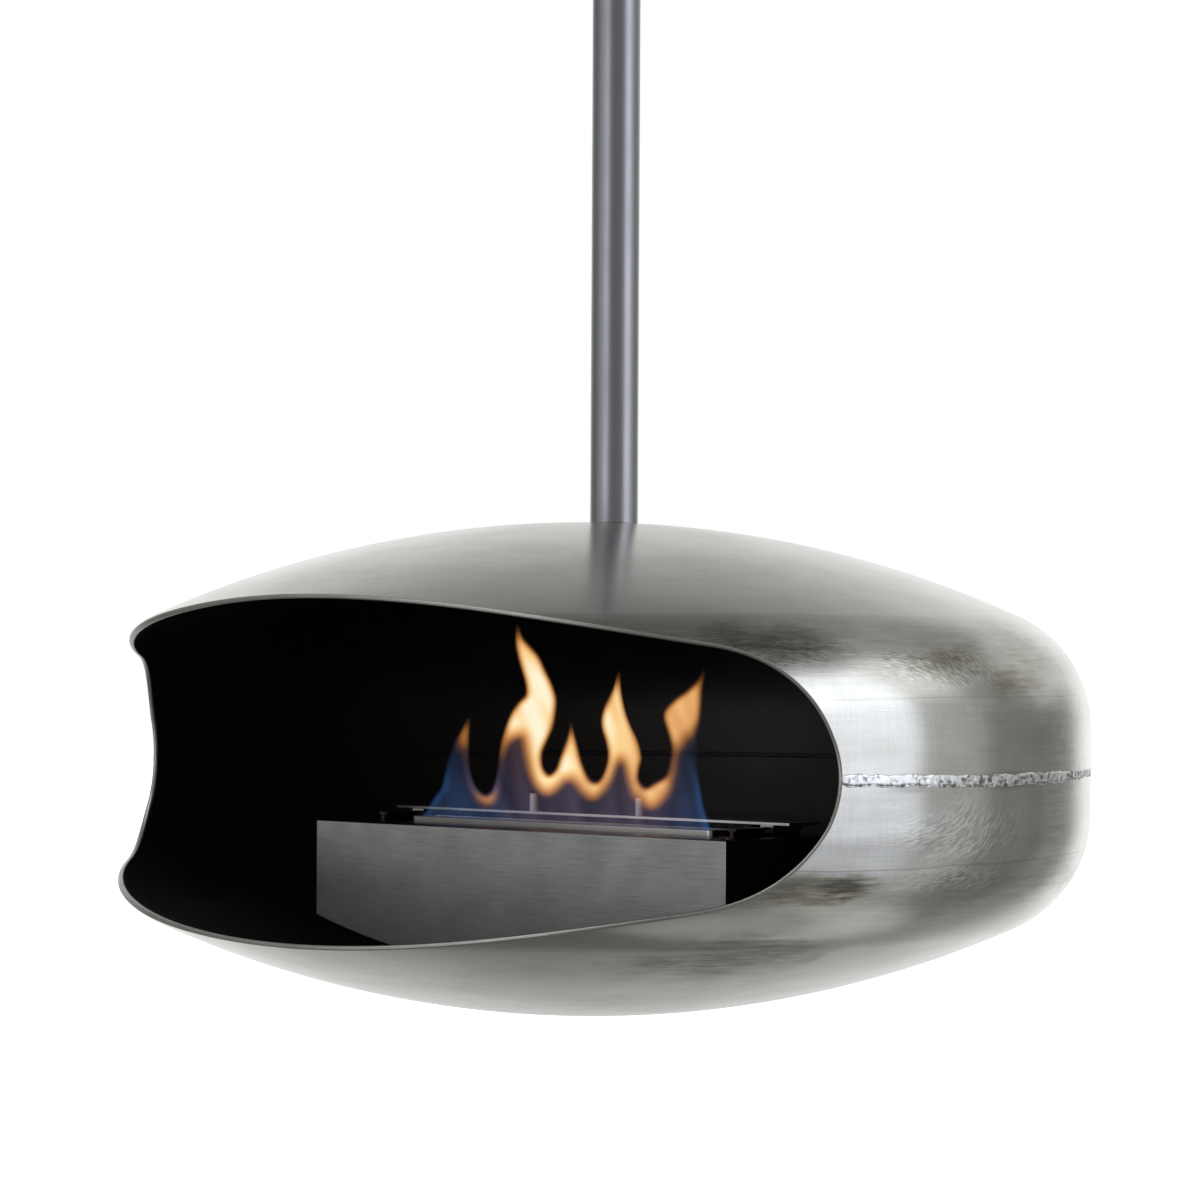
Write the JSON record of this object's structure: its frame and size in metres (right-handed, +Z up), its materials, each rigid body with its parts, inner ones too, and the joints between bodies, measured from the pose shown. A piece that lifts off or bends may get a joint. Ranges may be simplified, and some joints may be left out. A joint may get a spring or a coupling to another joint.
{
  "type": "hanging fireplace",
  "caption": "Round hanging fireplace of two dished steel ends welded rim to rim, open at the front, with an ethanol burner box inside, hung on a swivelling pole.",
  "frame": {"origin": "centre of the ceiling plate's upper face, on the axis of the pole", "axes": "+Z up along the pole, -Y the way the fire opening faces, +X along the burner"},
  "size_m": [1.0032, 0.9167, 1.5409],
  "materials": {
    "shell_steel": "raw pressed steel, ground with a flap disc, patinated and waxed",
    "weld_steel": "rough weld bead left as laid",
    "pole_steel": "satin drawn tube",
    "canopy_steel": "satin spun steel",
    "fascia_steel": "brushed stainless sheet",
    "black_coating": "matt heatproof black",
    "burner_steel": "dark heat-tinted sheet",
    "bright_steel": "polished stainless",
    "ceramic_wool": "ceramic fibre block",
    "woven_seal": "woven graphite seal",
    "bronze": "machined bronze",
    "machined_steel": "turned steel",
    "zinc_fastener": "bright zinc plate",
    "bearing_steel": "ground bearing steel"
  },
  "bodies": {
    "ceiling_mount": {"ceiling_plate": "black_coating", "bearing_hub": "black_coating", "hub_bolts": "zinc_fastener", "guide_bush": "bronze", "canopy": "canopy_steel", "canopy_screws": "zinc_fastener", "lower_race": "bearing_steel", "bearing_balls": "bearing_steel", "bearing_cage": "bearing_steel"},
    "hanging_body": {"spindle": "machined_steel", "upper_race": "bearing_steel", "cross_bolt": "zinc_fastener", "cross_nut": "zinc_fastener", "pole_tube": "pole_steel", "pole_plug": "machined_steel", "dome_doubler": "machined_steel", "saddle_washer": "machined_steel", "dome_nut": "zinc_fastener", "upper_shell": "shell_steel", "lower_shell": "shell_steel", "seam_weld": "weld_steel", "burner_fascia": "fascia_steel", "burner_housing": "black_coating", "saddle_brackets": "black_coating", "fascia_studs": "zinc_fastener", "rear_screws": "zinc_fastener", "housing_nuts": "zinc_fastener"},
    "burner": {"burner_tank": "burner_steel", "burner_top": "burner_steel", "slot_rim": "bright_steel", "wick_block": "ceramic_wool", "wick_screen": "bright_steel", "wick_cradle": "burner_steel", "guide_rails": "burner_steel"},
    "damper": {"damper_plate": "bright_steel", "damper_seal": "woven_seal", "damper_shoes": "black_coating", "damper_posts": "bright_steel"}
  },
  "joints": [
    {"name": "swivel", "type": "hinge", "parent": "ceiling_mount", "child": "hanging_body", "pos_m": [0, 0, -0.03], "axis": [0, 0, 1], "continuous": true},
    {"name": "burner_lift", "type": "slide", "parent": "hanging_body", "child": "burner", "axis": [0, 0, 1], "range_m": [0, 0.12]},
    {"name": "damper_slide", "type": "slide", "parent": "burner", "child": "damper", "axis": [0, -1, 0], "range_m": [0, 0.044]}
  ]
}
